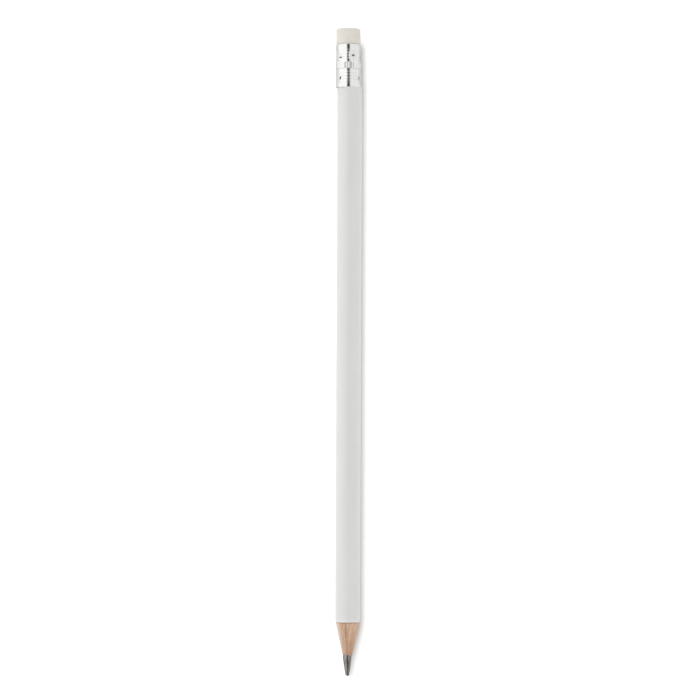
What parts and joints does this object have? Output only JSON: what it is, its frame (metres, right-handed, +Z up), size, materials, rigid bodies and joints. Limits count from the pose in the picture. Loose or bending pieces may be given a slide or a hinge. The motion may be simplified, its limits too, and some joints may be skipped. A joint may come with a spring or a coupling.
{
  "type": "pencil",
  "caption": "Round wood-cased pencil with a white lacquered barrel, a sharpened graphite point and a plug eraser held by a crimped metal ferrule.",
  "frame": {"origin": "on the surface that the pencil lies on, under the middle of its length and under its axis", "axes": "+Y along the pencil from the point to the eraser, +Z up from the surface that it lies on, and +X to the right with the eraser pointing away; the glued seam of the wood holds the pencil's axis and leans 11 degrees from upright, its top towards -X"},
  "size_m": [0.0076, 0.19, 0.0076],
  "materials": {
    "graphite": "fired graphite and clay, sharpened, with a dull metallic sheen",
    "wood": "bare cedar, cut by a sharpener, fine straight grain along the pencil",
    "glue": "dried wood glue in a thin film",
    "lacquer": "white lacquer in several thin coats, satin gloss",
    "ferrule_metal": "pressed bright aluminium with rolled ribs, flutes and punch marks",
    "eraser_rubber": "matt off-white rubber"
  },
  "bodies": {
    "root": {"lead_core": "graphite", "left_slat": "wood", "right_slat": "wood", "upper_glue_film": "glue", "lower_glue_film": "glue", "lacquer_coat": "lacquer", "ferrule": "ferrule_metal", "eraser": "eraser_rubber"}
  },
  "joints": []
}
